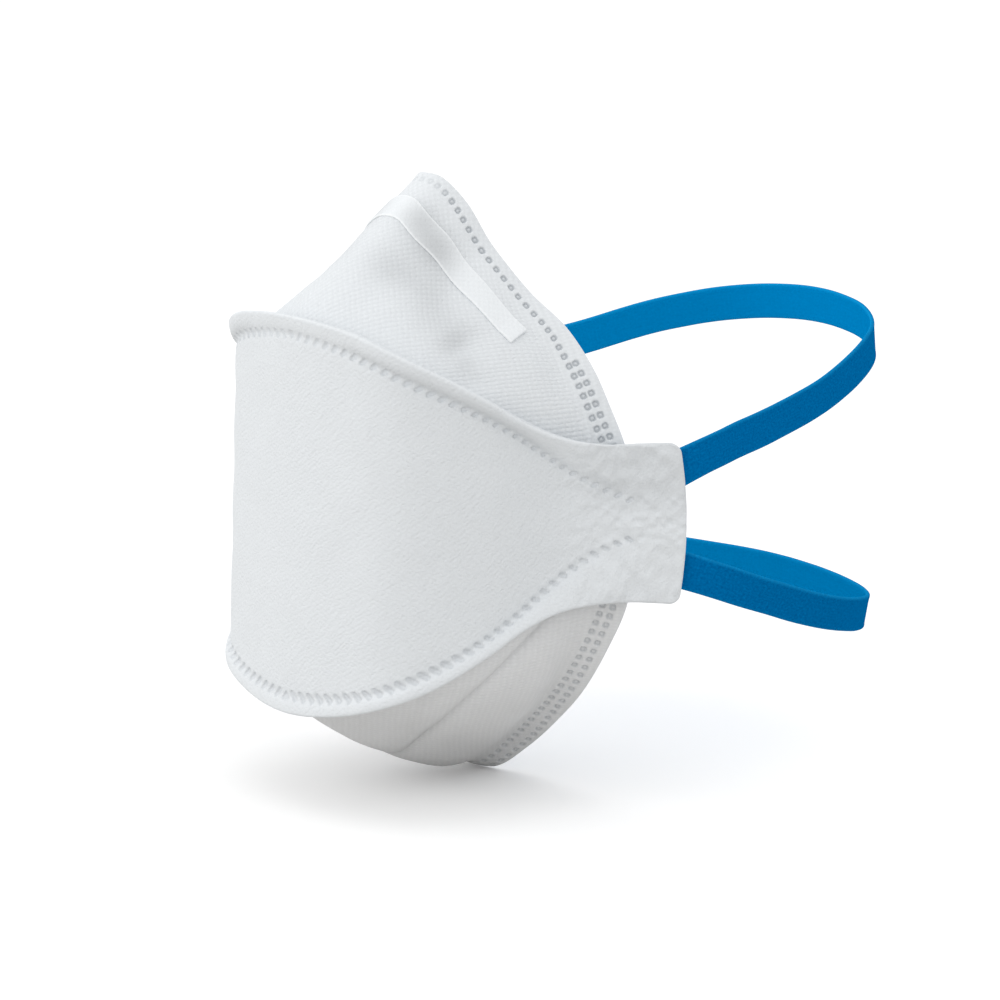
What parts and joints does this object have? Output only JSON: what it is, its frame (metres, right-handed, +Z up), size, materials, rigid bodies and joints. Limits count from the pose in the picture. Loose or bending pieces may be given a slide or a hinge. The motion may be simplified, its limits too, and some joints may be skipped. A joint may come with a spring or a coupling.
{
  "type": "disposable respirator",
  "caption": "Folding white three-panel respirator opened to its worn shape, with a nose strip and blue elastic headband loops.",
  "frame": {"origin": "midway between the ends of the two side tabs, at about half their height, where the mask sits against the face", "axes": "+Z up, -Y the front of the mask, +Y towards the back of the wearer's head, +X the wearer's left"},
  "size_m": [0.1382, 0.1681, 0.1438],
  "materials": {
    "nonwoven": "soft white nonwoven with a fine embossed grid",
    "nose_strip": "smooth matte white",
    "elastic": "blue knitted elastic"
  },
  "bodies": {
    "root": {"centre_panel": "nonwoven", "top_panel": "nonwoven", "chin_panel": "nonwoven", "nose_clip": "nose_strip", "upper_headband": "elastic", "lower_headband": "elastic"}
  },
  "joints": []
}
